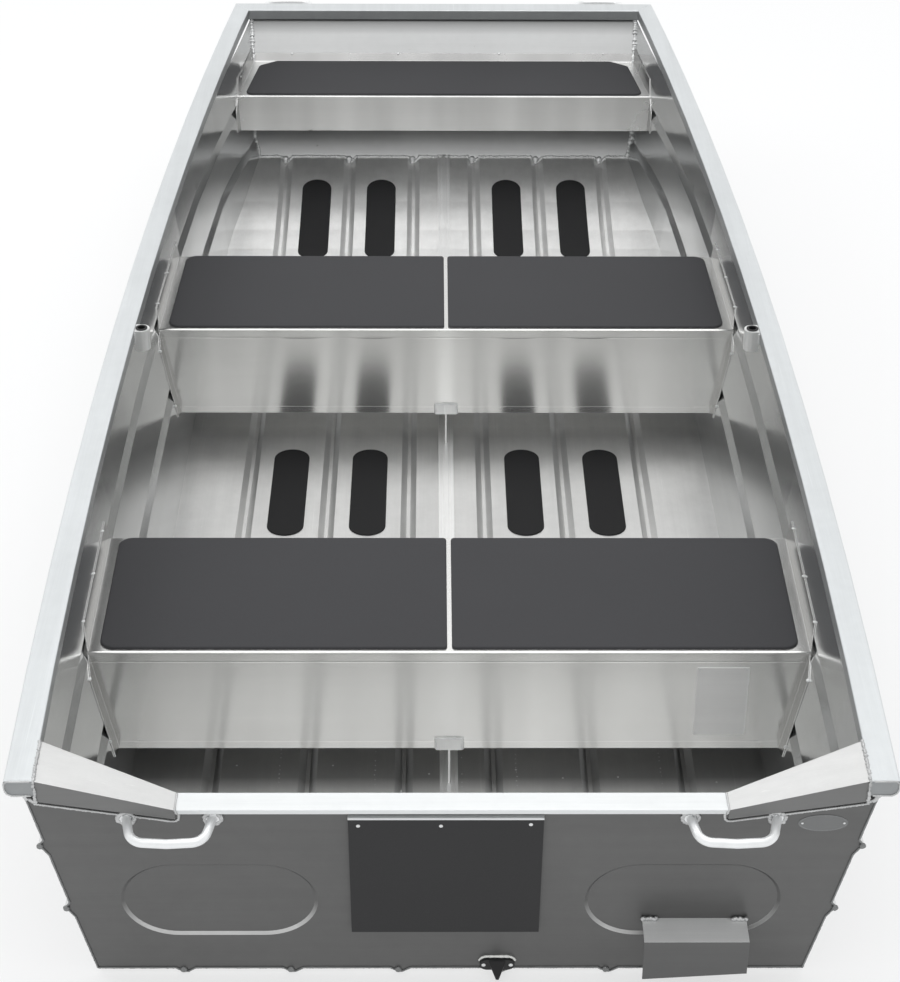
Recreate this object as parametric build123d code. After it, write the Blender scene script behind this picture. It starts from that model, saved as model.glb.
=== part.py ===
"""A flat-bottomed aluminium jon boat with three benches, welded from pressed sheet and extrusions.

X points to starboard, Y towards the bow and Z up. Heights are counted from the underside of the flat
bottom and lengths from the foot of the transom. At the end everything moves together, so that the
origin lies under the middle of the boat, at the level it rests on.
"""

import math
import os

from build123d import *

# Sheet and seats between pieces
SHEET = 2.0
TRANSOM_SHEET = 3.0
SEAT_GAP = 0.3
WELD_GAP = 0.1

# Largest half-beam, over the gunwales: the whole boat widens and narrows with it
HALF_BEAM = 748.0

# How far the hull skin lies inside that half-beam at stations along the boat. The lower and upper
# columns are taken at the two pressed side ribs, the top column at the underside of the gunwale.
INSETS = [
    # station, chine, lower rib, upper rib, top
    (-140.0, 122.0, 93.0, 66.0, 44.0),
    (500.0, 121.0, 88.0, 57.0, 32.0),
    (1000.0, 119.0, 84.0, 51.0, 26.0),
    (1450.0, 118.0, 82.0, 50.0, 28.0),
    (1790.0, 118.0, 83.5, 55.0, 34.5),
    (2310.0, 120.5, 91.5, 69.5, 53.0),
    (2600.0, 124.0, 99.0, 85.0, 72.0),
    (2765.0, 127.0, 108.0, 99.0, 87.0),
    (2925.0, 130.0, 117.0, 113.0, 102.0),
    (3024.0, 140.0, 128.0, 124.0, 114.0),
    (3163.0, 162.0, 147.0, 141.0, 131.0),
    (3310.0, 184.0, 169.0, 160.0, 148.0),
    (3440.0, 208.0, 186.0, 173.0, 160.0),
    (3690.0, 208.0, 203.0, 192.0, 180.0),
]
LOWER_RIB_Z = 169.0
UPPER_RIB_Z = 331.0

# Side ribs: a shelf above the crest and a longer slope below it
SIDE_RIB_PROUD = 9.0
SIDE_RIB_ABOVE = 11.0
SIDE_RIB_BELOW = 26.0
SIDE_RIB_CREST = 4.0
RIB_OVER_CHINE = 8.0
LOWER_RIB_FADES_Y = 3163.0
LOWER_RIB_GONE_Y = 3310.0

# Bottom: flat, then rising to the bow on one arc, with ribs pressed down and a keel. The ribs keep
# their shares of the half-beam.
BOTTOM_RIB_X = [share * HALF_BEAM for share in (0.119, 0.373, 0.627)]
BOTTOM_RIB_WIDTH = 36.0
BOTTOM_RIB_CREST = 8.0
BOTTOM_RIB_DEPTH = 10.0
CHINE_LIP = 2.0
RISE_START = 2600.0
RISE_RADIUS = 2654.0
RISE_END = 3430.0
KEEL_WIDTH = 27.0
KEEL_FOOT = 14.0
KEEL_CHANNEL_WIDTH = 36.0
KEEL_CHANNEL_DEPTH = 5.0
KEEL_GROOVE_WIDTH = 7.0
KEEL_GROOVE_DEPTH = 3.0
KEEL_GROOVE_X = 9.0
KEEL_AFT = 8.0

# Transom, raked aft at the top, and the raked bow plate
TRANSOM_RAKE = 10.0
BOW_FOOT_Y = 3371.0
BOW_RAKE = 29.7
OVAL_INBOARD = 350.0
OVAL_X = HALF_BEAM - OVAL_INBOARD
OVAL_Z = 186.0
OVAL_LENGTH = 338.0
OVAL_HEIGHT = 190.0
OVAL_DEPTH = 4.0
OVAL_TAPER = 55.0

# Gunwale: one hollow extrusion, bent to one arc on each side and mitred at the bow. The arc is drawn
# in equal straight lengths, none of them longer than RAIL_LENGTH.
RAIL_WIDTH = 48.0
RAIL_HEIGHT = 30.0
RAIL_WALL = 2.5
RAIL_OUTER_RADIUS = 12.0
RAIL_RADIUS = 3.0
RAIL_WIDEST_Y = 900.0
RAIL_ARC = 30000.0
RAIL_LENGTH = 315.0
RAIL_AFT_Y = -90.0
RAIL_BOW_Y = 3620.0
RAIL_BOW_WIDTH = 60.0
RAIL_TOP_AFT = 492.0
RAIL_TOP_BOW = 505.0
RAIL_END_PLATE = 2.5

# Transom cap between two corner gussets, which fill the last reach to the half-beam
GUSSET_REACH = 291.0
CAP_TOP = 425.0
CAP_HALF = HALF_BEAM - GUSSET_REACH
CAP_AFT_Y = -84.0
CAP_WIDTH = 46.0
CAP_WALL = 3.0
CAP_LIP = 8.0
GUSSET_WALL = 3.0
GUSSET_RAIL_FWD_Y = 18.0
GUSSET_RAIL_DROP = 42.0
GUSSET_CAP_DROP = 19.0
GUSSET_TOP_AT_RAIL = 490.0

# Benches: folded sheet, open below. Each row: name, aft edge, forward edge, top height, face depth
BENCHES = [
    ("stern_bench", 515.0, 921.0, 319.0, 227.0),
    ("mid_bench", 1846.0, 2252.0, 319.0, 227.0),
]
BOW_BENCH_AFT = 3231.0
BOW_BENCH_TOP = 363.0
BOW_BENCH_DEPTH = 106.0
BENCH_BEND = 4.0
HEM = 12.0
UPSTAND = 42.0
UPSTAND_AFT_CUT = 34.0
BOW_UPSTAND = 22.0
END_FLANGE = 38.0
END_FLANGE_TOP_CUT = 34.0
END_FLANGE_FOOT = 8.0

# Bench pads: thickness, then margins to the bench's edges
PAD_THICKNESS = 5.0
PAD_MARGIN_AFT = 10.0
PAD_MARGIN_FWD = 7.0
PAD_MARGIN_END = 22.0
PAD_MIDDLE_GAP = 9.0
PAD_OUTER_RADIUS = 28.0
PAD_INNER_RADIUS = 8.0
BOW_PAD_CORNER = 50.0
BOW_PAD_CORNER_DEPTH = 40.0
BOW_PAD_CORNER_RADIUS = 15.0
BOW_PAD_AFT_RADIUS = 20.0

# Grip strips on the floor, each midway between two bottom ribs
STRIP_LENGTH = 391.0
STRIP_WIDTH = 85.0
STRIP_THICKNESS = 3.0
STRIP_ENDS = (1818.0, 3262.0)

# Props from the keel to the stern and middle benches
PROP_THICKNESS = 4.0
PROP_DEPTH = 30.0
PROP_HOLE = 6.0
PROP_HOLE_Z = 26.0
CLIP_WIDTH = 52.0
CLIP_HEIGHT = 28.0
CLIP_THICKNESS = 3.0
CLIP_LIP = 16.0

# Rowlock sockets on the inner faces of the gunwales
ROWLOCK_Y = 1512.0
ROWLOCK_OUT = 14.0
ROWLOCK_RADIUS = 18.0
ROWLOCK_HEIGHT = 49.0
ROWLOCK_BELOW_TOP = 3.0
BUSH_OUTER_RADIUS = 13.0
BUSH_BORE_RADIUS = 8.5
BUSH_PROUD = 2.0

# Carrying handles: bent round bar on round feet
HANDLE_INBOARD = 280.0
HANDLE_X = HALF_BEAM - HANDLE_INBOARD
HANDLE_SPREAD = 144.0
HANDLE_GRIP_SPREAD = 120.0
HANDLE_REACH = 53.0
HANDLE_ARCH = 4.0
HANDLE_BAR_RADIUS = 8.0
HANDLE_BEND = 28.0
HANDLE_FOOT = 3.0
STERN_HANDLE_Z = 399.0
STERN_HANDLE_FOOT_RADIUS = 16.0
BOW_HANDLE_FOOT_RADIUS = 12.0
BOW_HANDLE_BELOW_TOP = 15.0

# Motor pad on the outside of the transom
MOTOR_PAD_X = -10.0
MOTOR_PAD_WIDTH = 325.0
MOTOR_PAD_LENGTH = 296.0
MOTOR_PAD_TOP = 402.0
MOTOR_PAD_THICKNESS = 8.5

# Bracket for a sounder, a bent plate low on the transom
BRACKET_INBOARD = 416.0
BRACKET_PORT_X = HALF_BEAM - BRACKET_INBOARD
BRACKET_WIDTH = 181.0
BRACKET_TOP_Z = 133.0
BRACKET_REACH = 52.0
BRACKET_FALL = 5.0
BRACKET_PORT_FOOT_Z = 43.0
BRACKET_STARBOARD_FOOT_Z = 56.0
BRACKET_SHEET = 2.5

# Drain: a flap valve over a hole low in the transom
DRAIN_X = 82.0
DRAIN_Z = 18.0
DRAIN_HOLE_RADIUS = 10.0
DRAIN_SPIGOT_RADIUS = 9.7
DRAIN_BORE_RADIUS = 7.5
DRAIN_PLATE_WIDTH = 62.0
DRAIN_PLATE_HEIGHT = 28.0
DRAIN_PLATE = 8.0
DRAIN_FLAP_WIDTH = 30.0
DRAIN_FLAP_TIP_WIDTH = 5.0
DRAIN_FLAP = 3.0
DRAIN_FLAP_REACH = 24.0
DRAIN_FLAP_HINGE = 10.0
DRAIN_FLAP_FALL = 18.0

PORT = -1
STARBOARD = 1
FAR = 4500.0

RAKE_RUN = math.tan(math.radians(TRANSOM_RAKE))
BOW_RUN = math.tan(math.radians(BOW_RAKE))


def between(table, key, column):
    """Read one column of a table whose rows are sorted by their first value."""
    for low, high in zip(table, table[1:]):
        if key <= high[0]:
            share = (key - low[0]) / (high[0] - low[0])
            return low[column] + share * (high[column] - low[column])
    return table[-1][column]


def bottom_z(y):
    """Height of the underside of the bottom at station y."""
    run = min(max(y - RISE_START, 0), RISE_END - RISE_START)
    return RISE_RADIUS - math.sqrt(RISE_RADIUS**2 - run**2)


def bow_y(z):
    """Station at which the inner face of the bow plate stands at height z."""
    return BOW_FOOT_Y + (z - bottom_z(BOW_FOOT_Y) - SHEET) * BOW_RUN


def rail_top(y):
    """Height of the top of the gunwale at station y."""
    share = (y - RAIL_AFT_Y) / (RAIL_BOW_Y - RAIL_AFT_Y)
    return RAIL_TOP_AFT + share * (RAIL_TOP_BOW - RAIL_TOP_AFT)


def rail_under(y):
    """Height at which the skin ends, just below the gunwale."""
    return rail_top(y) - RAIL_HEIGHT - WELD_GAP


def rail_points():
    """The ends of the gunwale's straight lengths, on the arc of its outer edge: (y, half-breadth)."""
    reach = RAIL_BOW_Y + RAIL_BOW_WIDTH - RAIL_AFT_Y
    lengths = math.ceil(reach / RAIL_LENGTH)
    stations = [RAIL_AFT_Y + reach * step / lengths for step in range(lengths + 1)]
    arc_x = HALF_BEAM - RAIL_ARC
    return [(y, arc_x + math.sqrt(RAIL_ARC**2 - (y - RAIL_WIDEST_Y) ** 2)) for y in stations]


def rail_half(y, inset=0.0):
    """Half-breadth of the gunwale's outer edge at station y, or of a line inset from it."""
    return between(rail_points(), y, 1) - inset


def skin_heights(y):
    """Heights of the chine, the two side ribs and the top of the skin at station y.

    Where the bottom rises to the bow, the lower rib keeps clear of the chine.
    """
    lower = max(LOWER_RIB_Z, bottom_z(y) + RIB_OVER_CHINE + SIDE_RIB_BELOW)
    return [bottom_z(y), lower, UPPER_RIB_Z, rail_under(y)]


def rib_proud(y, row):
    """How far a side rib stands out at station y; the lower one, row 0, fades before the bow."""
    fade = [(LOWER_RIB_FADES_Y, SIDE_RIB_PROUD), (LOWER_RIB_GONE_Y, 0.0)]
    if row or y <= LOWER_RIB_FADES_Y:
        return SIDE_RIB_PROUD
    return between(fade, y, 1)


def skin_half(y, z):
    """Half-breadth of the outside of the smooth skin at station y and height z."""
    knots = [(height, HALF_BEAM - between(INSETS, y, row)) for row, height in enumerate(skin_heights(y), 1)]
    return between(knots, z, 1)


def side_line(y, ribbed):
    """Half-breadths and heights up the outside of the skin at station y, chine first."""
    heights = skin_heights(y)
    if not ribbed:
        return [(skin_half(y, z), z) for z in heights]
    line = [(skin_half(y, heights[0]), heights[0])]
    for row, crest_z in enumerate(heights[1:3]):
        proud = rib_proud(y, row)
        crest = skin_half(y, crest_z) + proud
        foot_z = crest_z - SIDE_RIB_BELOW
        head_z = crest_z + SIDE_RIB_ABOVE
        line.append((skin_half(y, foot_z), foot_z))
        line.append((crest, crest_z - SIDE_RIB_CREST / 2))
        line.append((crest, crest_z + SIDE_RIB_CREST / 2))
        line.append((skin_half(y, head_z), head_z))
    line.append((skin_half(y, heights[-1]), heights[-1]))
    return line


def bottom_line(y, ribbed):
    """Half of the underside at station y, from the middle outwards, without the chine point."""
    z = bottom_z(y)
    line = []
    for x in BOTTOM_RIB_X:
        if ribbed:
            line.append((x - BOTTOM_RIB_WIDTH / 2, z))
            line.append((x - BOTTOM_RIB_CREST / 2, z - BOTTOM_RIB_DEPTH))
            line.append((x + BOTTOM_RIB_CREST / 2, z - BOTTOM_RIB_DEPTH))
            line.append((x + BOTTOM_RIB_WIDTH / 2, z))
    return line


def skin(section):
    """Join one closed section per station into a solid with straight lines between stations."""
    faces = []
    for y, *_ in INSETS:
        points = [(x, y, z) for x, z in section(y)]
        faces.append(Face(Wire.make_polygon(points, close=True)))
    return loft(faces, ruled=True)


def mirrored(points):
    """Complete a half line, given from the middle outwards, with its port side."""
    return [(-x, z) for x, z in reversed(points)] + list(points)


def inside_section(inset, ribbed=True):
    """Section of the space within the hull skin, an inset away from it."""

    def section(y):
        side = [(x - SHEET - inset, z) for x, z in side_line(y, ribbed)]
        floor = [(x, z + SHEET + inset) for x, z in bottom_line(y, ribbed)]
        side[0] = (side[0][0], side[0][1] + SHEET + inset)
        return mirrored(floor + side)

    return section


def side_section(y):
    """Section of the starboard side sheet, standing on the bottom sheet."""
    outer = side_line(y, True)
    inner = [(x - SHEET, z) for x, z in outer]
    outer[0] = (outer[0][0], outer[0][1] + SHEET)
    inner[0] = (inner[0][0], inner[0][1] + SHEET)
    return outer + inner[::-1]


def bottom_section(y):
    """Section of the bottom sheet, reaching a lip beyond the sides."""
    edge = (skin_half(y, bottom_z(y)) + CHINE_LIP, bottom_z(y))
    under = mirrored(bottom_line(y, True) + [edge])
    return under + [(x, z + SHEET) for x, z in reversed(under)]


def strip_section(low_width, high_width, low, high):
    """Section of a bar along the middle of the bottom, between two heights over the underside."""

    def section(y):
        z = bottom_z(y)
        return [
            (-low_width / 2, z + low),
            (low_width / 2, z + low),
            (high_width / 2, z + high),
            (-high_width / 2, z + high),
        ]

    return section


def channel_section(y):
    """Section of the grooved strip over the keel."""
    z = bottom_z(y) + SHEET
    top = z + KEEL_CHANNEL_DEPTH
    half_groove = KEEL_GROOVE_WIDTH / 2
    points = [
        (KEEL_GROOVE_X - half_groove, top),
        (KEEL_GROOVE_X - half_groove, top - KEEL_GROOVE_DEPTH),
        (KEEL_GROOVE_X + half_groove, top - KEEL_GROOVE_DEPTH),
        (KEEL_GROOVE_X + half_groove, top),
        (KEEL_CHANNEL_WIDTH / 2, top),
        (KEEL_CHANNEL_WIDTH / 2, z),
    ]
    return mirrored(points)


def box(x0, x1, y0, y1, z0, z1):
    """A box between two corners."""
    return Pos((x0 + x1) / 2, (y0 + y1) / 2, (z0 + z1) / 2) * Box(x1 - x0, y1 - y0, z1 - z0)


def side_view(points, x0=-FAR, x1=FAR):
    """Extrude a side-view outline of (y, z) points across the boat."""
    outline = Face(Wire.make_polygon([(x0, y, z) for y, z in points], close=True))
    return extrude(outline, x1 - x0, dir=(1, 0, 0))


def end_view(points, y0, y1):
    """Extrude an end-view outline of (x, z) points along the boat."""
    outline = Face(Wire.make_polygon([(x, y0, z) for x, z in points], close=True))
    return extrude(outline, y1 - y0, dir=(0, 1, 0))


def port_and_starboard(name, piece):
    """Two nodes: the piece as given, to starboard, and its mirror image."""
    return {name + "_starboard": piece, name + "_port": mirror(piece, about=Plane.YZ)}


# Planes that trim the hull: outward faces of the transom and of the bow plate
transom_out = Plane((0, 0, 0), x_dir=(1, 0, 0), z_dir=(0, -1, -RAKE_RUN))
transom_in = transom_out.offset(-TRANSOM_SHEET)
bow_in = Plane((0, BOW_FOOT_Y, bottom_z(BOW_FOOT_Y) + SHEET), x_dir=(1, 0, 0), z_dir=(0, 1, -BOW_RUN))
bow_out = bow_in.offset(SHEET)


def on_transom(x, z):
    """A place on the transom's outer face, with its own z pointing out and y up the face."""
    return transom_out * Pos(x, z / math.cos(math.radians(TRANSOM_RAKE)), 0)


def within_ends(piece, aft=transom_out, fwd=bow_out):
    """Keep what lies between the transom's plane and the bow's."""
    piece = split(piece, bisect_by=aft, keep=Keep.BOTTOM)
    return split(piece, bisect_by=fwd, keep=Keep.BOTTOM)


nodes = {}
inside = skin(inside_section(0))

# Hull skin
bottom = within_ends(skin(bottom_section))
side = within_ends(skin(side_section))
nodes["hull_bottom"] = bottom
nodes.update(port_and_starboard("hull_side", side))

# Keel below the bottom and its grooved strip above, both trimmed to the ends of the boat
keel = skin(strip_section(KEEL_FOOT, KEEL_WIDTH, -BOTTOM_RIB_DEPTH, 0))
nodes["keel"] = within_ends(keel, aft=transom_out.offset(-KEEL_AFT))
channel = skin(channel_section)
nodes["keel_channel"] = within_ends(channel, transom_in, bow_in)

# Transom, cut to the cap and gussets, with two bare ovals pressed inwards and a drain hole
transom_middle = transom_out.offset(-TRANSOM_SHEET / 2)
transom = inside & (transom_middle * Box(2 * FAR, 2 * FAR, TRANSOM_SHEET))
cap_under = CAP_TOP - CAP_WALL
gusset_under = RAIL_TOP_AFT - RAIL_HEIGHT - SEAT_GAP
rail_inner_half = rail_half(RAIL_AFT_Y, RAIL_WIDTH)
top_cut = [
    (CAP_HALF, cap_under),
    (rail_inner_half, gusset_under),
    (FAR, gusset_under),
    (FAR, FAR),
]
transom -= end_view(mirrored(top_cut), -FAR, FAR)
for side_sign in (PORT, STARBOARD):
    centre = on_transom(side_sign * OVAL_X, OVAL_Z)
    oval = SlotOverall(OVAL_LENGTH, OVAL_HEIGHT)
    raised = extrude(centre * Pos(0, 0, -TRANSOM_SHEET) * oval, -OVAL_DEPTH, taper=OVAL_TAPER)
    sunk = extrude(centre * oval, -OVAL_DEPTH, taper=OVAL_TAPER)
    transom = transom + raised - sunk
transom -= on_transom(DRAIN_X, DRAIN_Z) * Cylinder(DRAIN_HOLE_RADIUS, 4 * TRANSOM_SHEET)
nodes["transom"] = transom

# Bow plate
bow_sheet = bow_in.offset(SHEET / 2) * Box(2 * FAR, 2 * FAR, SHEET)
nodes["bow_plate"] = inside & bow_sheet

def rail_outline(width):
    """Outside of the gunwale extrusion, with its top outer corner at the origin and y downwards."""
    outline = Pos(-width / 2, RAIL_HEIGHT / 2) * Rectangle(width, RAIL_HEIGHT)
    corners = outline.vertices().sort_by(lambda v: v.X + v.Y)
    outline = fillet(corners[:-1], RAIL_RADIUS)
    low_outer = outline.vertices().sort_by(lambda v: v.X + v.Y)[-1]
    return fillet(low_outer, RAIL_OUTER_RADIUS)


def hollow(outline):
    """Outline of the hollow in the gunwale extrusion."""
    return offset(outline, -RAIL_WALL)


def along_rail(outline):
    """A bar with the given outline along the starboard gunwale's straight lengths, before the sheer."""
    places = [Plane((x, y, 0), x_dir=(1, 0, 0), z_dir=(0, 1, 0)) for y, x in rail_points()]
    return loft([place * outline for place in places], ruled=True)


# Gunwales: drawn level, mitred at the bow, then tipped up to the sheer
sheer_angle = math.degrees(math.atan2(RAIL_TOP_BOW - RAIL_TOP_AFT, RAIL_BOW_Y - RAIL_AFT_Y))
sheer = Pos(0, RAIL_AFT_Y, RAIL_TOP_AFT) * Rot(sheer_angle, 0, 0) * Pos(0, -RAIL_AFT_Y, 0)
side_outline = rail_outline(RAIL_WIDTH)
side_rail = along_rail(side_outline) - along_rail(hollow(side_outline))

inner_y = RAIL_BOW_Y - RAIL_BOW_WIDTH
inner_half = rail_half(inner_y, RAIL_WIDTH)
mitre_x = rail_half(RAIL_BOW_Y) - inner_half
mitre = Plane((inner_half, inner_y, 0), z_dir=(-RAIL_BOW_WIDTH, mitre_x, 0))
port_mitre = Plane((-inner_half, inner_y, 0), z_dir=(RAIL_BOW_WIDTH, mitre_x, 0))
side_rail = split(side_rail, bisect_by=mitre, keep=Keep.BOTTOM)
nodes.update(port_and_starboard("gunwale", sheer * side_rail))

across_bow = Plane((-FAR, RAIL_BOW_Y, 0), x_dir=(0, 1, 0), z_dir=(-1, 0, 0))
bow_outline = rail_outline(RAIL_BOW_WIDTH)
bow_rail = extrude(across_bow * (bow_outline - hollow(bow_outline)), -2 * FAR)
bow_rail = split(bow_rail, bisect_by=mitre, keep=Keep.TOP)
bow_rail = split(bow_rail, bisect_by=port_mitre, keep=Keep.TOP)
nodes["gunwale_bow"] = sheer * bow_rail

stern_end = Plane((rail_half(RAIL_AFT_Y), RAIL_AFT_Y, 0), x_dir=(1, 0, 0), z_dir=(0, 1, 0))
end_plate = extrude(stern_end * side_outline, -RAIL_END_PLATE)
nodes.update(port_and_starboard("gunwale_end", sheer * end_plate))

# Transom cap: a shallow channel over the edge of the sheet
cap_fwd_y = CAP_AFT_Y + CAP_WIDTH
cap = box(-CAP_HALF, CAP_HALF, CAP_AFT_Y, cap_fwd_y, CAP_TOP - CAP_LIP, CAP_TOP)
cap -= box(
    -FAR, FAR, CAP_AFT_Y + CAP_WALL, cap_fwd_y - CAP_WALL, CAP_TOP - CAP_LIP, CAP_TOP - CAP_WALL
)
nodes["transom_cap"] = cap


# Corner gussets: tapered boxes open below, which climb from the cap to the gunwales that close their
# outer ends, with a slot for the transom in the inner end wall. Each end is given by its aft corner,
# its forward corner and the depth of its faces.
gusset_x = [rail_half(y, RAIL_WIDTH) - SEAT_GAP for y in (RAIL_AFT_Y, GUSSET_RAIL_FWD_Y)]
cap_end_x = CAP_HALF + WELD_GAP
cap_end = [(cap_end_x, CAP_AFT_Y, CAP_TOP), (cap_end_x, cap_fwd_y, CAP_TOP), GUSSET_CAP_DROP]
rail_end = [
    (gusset_x[0], RAIL_AFT_Y, GUSSET_TOP_AT_RAIL),
    (gusset_x[1], GUSSET_RAIL_FWD_Y, GUSSET_TOP_AT_RAIL),
    GUSSET_RAIL_DROP,
]


def gusset_section(share, inset, below):
    """A section some share of the way from the cap to the gunwale, inset, reaching further below."""
    (aft0, fwd0, drop0), (aft1, fwd1, drop1) = cap_end, rail_end
    aft = Vector(*aft0) + (Vector(*aft1) - Vector(*aft0)) * share
    fwd = Vector(*fwd0) + (Vector(*fwd1) - Vector(*fwd0)) * share
    drop = drop0 + share * (drop1 - drop0)
    along = (fwd - aft).normalized() * inset
    top = Vector(0, 0, -inset)
    foot = Vector(0, 0, -drop - below)
    points = [aft + along + foot, aft + along + top, fwd - along + top, fwd - along + foot]
    return Face(Wire.make_polygon(points, close=True))


wall_share = GUSSET_WALL / (gusset_x[0] - cap_end_x)
gusset = loft([gusset_section(0, 0, 0), gusset_section(1, 0, 0)], ruled=True)
gusset -= loft(
    [
        gusset_section(wall_share, GUSSET_WALL, GUSSET_WALL),
        gusset_section(1 + wall_share, GUSSET_WALL, GUSSET_WALL),
    ],
    ruled=True,
)
slot = transom_middle * Box(2 * FAR, 2 * FAR, TRANSOM_SHEET + 2 * SEAT_GAP)
slot -= end_view(mirrored(top_cut), -FAR, FAR)
gusset -= slot & box(0, cap_end_x + 2 * GUSSET_WALL, -FAR, FAR, 0, CAP_TOP)
nodes.update(port_and_starboard("gusset", gusset))


def liner(inset, thickness):
    """A thin layer that follows the smooth inner face of the sides."""
    return skin(inside_section(inset, False)) - skin(inside_section(inset + thickness, False))


bench_space = within_ends(skin(inside_section(SEAT_GAP, False)), transom_in, bow_in.offset(-SEAT_GAP))
end_layer = within_ends(liner(SEAT_GAP, SHEET), transom_in, bow_in.offset(-SEAT_GAP))
bow_layer = bench_space & (bow_in.offset(-SEAT_GAP - SHEET / 2) * Box(2 * FAR, 2 * FAR, SHEET))


def bench(aft_y, fwd_y, top_z, depth):
    """A folded bench: top, aft and forward faces, and flanges that turn along the sides."""
    foot_z = top_z - depth
    middle_y = (aft_y + fwd_y) / 2
    outline = Pos(middle_y, (top_z + foot_z) / 2) * Rectangle(fwd_y - aft_y, depth)
    outline = fillet(outline.vertices().group_by(Axis.Y)[-1], BENCH_BEND)
    cavity = Pos(middle_y, (top_z + foot_z) / 2 - SHEET) * Rectangle(fwd_y - aft_y - 2 * SHEET, depth)
    cavity = fillet(cavity.vertices().group_by(Axis.Y)[-1], BENCH_BEND - SHEET)
    body = extrude(Plane.YZ * (outline - cavity), FAR, both=True)
    body += box(-FAR, FAR, aft_y + SHEET, aft_y + SHEET + HEM, foot_z, foot_z + SHEET)
    body = body & bench_space
    upstand = [
        (aft_y + BENCH_BEND, top_z - SHEET),
        (aft_y + UPSTAND_AFT_CUT, top_z + UPSTAND),
        (fwd_y - BENCH_BEND, top_z + UPSTAND),
        (fwd_y - BENCH_BEND, top_z - SHEET),
    ]
    end = [
        (aft_y + SHEET, top_z - BENCH_BEND),
        (aft_y - END_FLANGE, top_z - BENCH_BEND - END_FLANGE_TOP_CUT),
        (aft_y - END_FLANGE, foot_z + END_FLANGE_FOOT),
        (aft_y + SHEET, foot_z),
    ]
    for outline in (upstand, end):
        body += side_view(outline) & end_layer
    return body


for name, *sizes in BENCHES:
    nodes[name] = bench(*sizes)

# The bow bench runs to the bow plate and turns up along it
past_plate = bow_y(BOW_BENCH_TOP) + 2 * BENCH_BEND
bow_bench = bench(BOW_BENCH_AFT, past_plate, BOW_BENCH_TOP, BOW_BENCH_DEPTH)
bow_upstand = box(-FAR, FAR, BOW_BENCH_AFT, FAR, BOW_BENCH_TOP - SHEET, BOW_BENCH_TOP + BOW_UPSTAND)
nodes["bow_bench"] = bow_bench + (bow_layer & bow_upstand)


def pad_outline(aft_y, fwd_y, top_z, margin):
    """Corners of the starboard half of a bench top, less the pad's margins at the edges."""
    aft = aft_y + PAD_MARGIN_AFT
    fwd = fwd_y - PAD_MARGIN_FWD
    return (
        (margin, aft),
        (skin_half(aft, top_z) - SHEET - PAD_MARGIN_END, aft),
        (skin_half(fwd, top_z) - SHEET - PAD_MARGIN_END, fwd),
        (margin, fwd),
    )


def rounded(points, radii):
    """A closed outline with its own radius at each corner."""
    face = make_face(Polyline(*points, close=True))
    for (x, y), radius in zip(points, radii):
        corner = face.vertices().sort_by_distance((x, y, 0))[0]
        face = fillet(corner, radius)
    return face


# Bench pads: a pair on the stern and middle benches, one with cut corners at the bow
pad_radii = (PAD_INNER_RADIUS, PAD_OUTER_RADIUS, PAD_OUTER_RADIUS, PAD_INNER_RADIUS)
for name, aft_y, fwd_y, top_z, depth in BENCHES:
    corners = pad_outline(aft_y, fwd_y, top_z, PAD_MIDDLE_GAP / 2)
    pad = extrude(Pos(0, 0, top_z) * rounded(corners, pad_radii), PAD_THICKNESS)
    nodes.update(port_and_starboard(name.replace("bench", "pad"), pad))

bow_top = pad_outline(BOW_BENCH_AFT, bow_y(BOW_BENCH_TOP), BOW_BENCH_TOP, 0)
aft_point, fwd_point = bow_top[1:3]
half_bow = [
    aft_point,
    (fwd_point[0], fwd_point[1] - BOW_PAD_CORNER_DEPTH),
    (fwd_point[0] - BOW_PAD_CORNER, fwd_point[1]),
]
bow_radii = [BOW_PAD_AFT_RADIUS, BOW_PAD_CORNER_RADIUS, BOW_PAD_CORNER_RADIUS]
bow_corners = half_bow + [(-x, y) for x, y in reversed(half_bow)]
bow_pad = rounded(bow_corners, bow_radii + bow_radii[::-1])
nodes["bow_pad"] = extrude(Pos(0, 0, BOW_BENCH_TOP) * bow_pad, PAD_THICKNESS)


def floor_layer(y):
    """Section of a layer that lies on the floor between its ribs."""
    z = bottom_z(y) + SHEET
    half = BOTTOM_RIB_X[-1]
    return [(-half, z), (half, z), (half, z + STRIP_THICKNESS), (-half, z + STRIP_THICKNESS)]


# Grip strips: four in each compartment that has them, cut from a layer along the floor
on_floor = skin(floor_layer)
strip = SlotOverall(STRIP_LENGTH, STRIP_WIDTH, rotation=90)
strip_x = [(low + high) / 2 for low, high in zip(BOTTOM_RIB_X, BOTTOM_RIB_X[1:])]
for name, end_y in zip(("floor_strips_mid", "floor_strips_front"), STRIP_ENDS):
    strips = Part()
    for x in strip_x:
        for side_sign in (PORT, STARBOARD):
            column = Pos(side_sign * x, end_y - STRIP_LENGTH / 2, 0) * extrude(strip, RAIL_TOP_AFT)
            strips += column & on_floor
    nodes[name] = strips

# Props: a plate on edge from the keel to a clip over the aft foot of the bench
for name, aft_y, fwd_y, top_z, depth in BENCHES:
    foot_z = top_z - depth
    seat_z = bottom_z(aft_y) + SHEET + KEEL_CHANNEL_DEPTH
    half = PROP_THICKNESS / 2
    prop = box(-half, half, aft_y, aft_y + PROP_DEPTH, seat_z, foot_z - CLIP_THICKNESS)
    hole = Pos(0, aft_y + PROP_DEPTH / 2, PROP_HOLE_Z) * Rot(0, 90, 0) * Cylinder(PROP_HOLE / 2, CLIP_WIDTH)
    half = CLIP_WIDTH / 2
    low = foot_z - CLIP_THICKNESS
    clip = box(-half, half, aft_y - CLIP_THICKNESS, aft_y, low, low + CLIP_HEIGHT)
    lip = box(-half, half, aft_y - CLIP_THICKNESS, aft_y + CLIP_LIP, low, foot_z)
    nodes[name.replace("bench", "prop")] = prop - hole + clip + lip

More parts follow.
